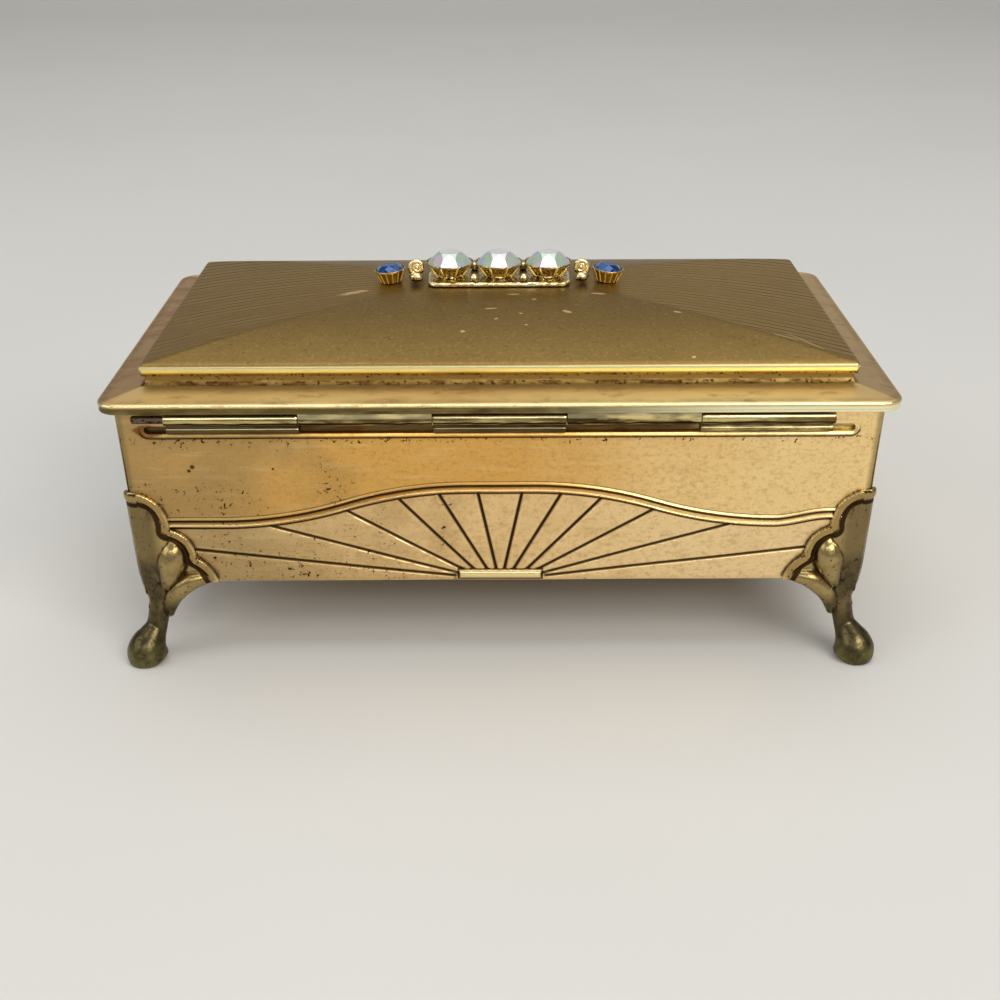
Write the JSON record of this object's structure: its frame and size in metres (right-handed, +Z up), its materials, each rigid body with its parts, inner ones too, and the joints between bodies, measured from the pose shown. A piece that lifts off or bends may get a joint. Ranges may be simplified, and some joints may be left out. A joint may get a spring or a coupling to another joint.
{
  "type": "jewelry casket",
  "caption": "Footed pressed-brass jewelry casket with a sunburst on each wall and a hinged domed lid set with a row of faceted stones.",
  "frame": {"origin": "middle of the footprint, on the table under the feet", "axes": "+Z up; +X along the hinge, the longest way; the hinge side (the side in the picture) faces -Y, and the lid's free front edge faces +Y"},
  "size_m": [0.1296, 0.0736, 0.063],
  "materials": {
    "wall_brass": "pressed sheet, worn lacquer with dark pitting",
    "foot_brass": "cast, antiqued dark in the hollows and bright on the ridges",
    "frame_brass": "pressed sheet, coppery where the gilding has worn",
    "panel_brass": "satin, with fine engraved lines on the end slopes",
    "hinge_brass": "rolled sheet, tarnished",
    "ornament_brass": "cast and polished",
    "end_cup_metal": "pale plated, fluted",
    "pin_steel": "drawn wire, browned",
    "crystal": "faceted, iridescent coating",
    "blue_glass": "faceted, foiled back",
    "velvet": "short pile on card",
    "lid_satin": "padded velvet"
  },
  "bodies": {
    "casket_base": {"wall_back": "wall_brass", "wall_front": "wall_brass", "wall_left": "wall_brass", "wall_right": "wall_brass", "base_plate": "wall_brass", "foot_back_left": "foot_brass", "foot_back_right": "foot_brass", "foot_front_left": "foot_brass", "foot_front_right": "foot_brass", "hinge_leaf_body": "hinge_brass", "hinge_pin": "pin_steel", "lining_back": "velvet", "lining_front": "velvet", "lining_left": "velvet", "lining_right": "velvet", "floor_pad": "velvet"},
    "lid": {"lid_frame": "frame_brass", "lid_panel": "panel_brass", "hinge_leaf_lid": "hinge_brass", "ornament_bar": "ornament_brass", "scroll_left": "ornament_brass", "scroll_right": "ornament_brass", "ornament_beads": "ornament_brass", "cup_left": "ornament_brass", "cup_centre": "ornament_brass", "cup_right": "ornament_brass", "end_cup_left": "end_cup_metal", "end_cup_right": "end_cup_metal", "crystal_left": "crystal", "crystal_centre": "crystal", "crystal_right": "crystal", "blue_stone_left": "blue_glass", "blue_stone_right": "blue_glass", "lid_pad": "lid_satin"}
  },
  "joints": [
    {"name": "lid_hinge", "type": "hinge", "parent": "casket_base", "child": "lid", "pos_m": [0, -0.0343, 0.0454], "axis": [1, 0, 0], "range_deg": [0, 110]}
  ]
}
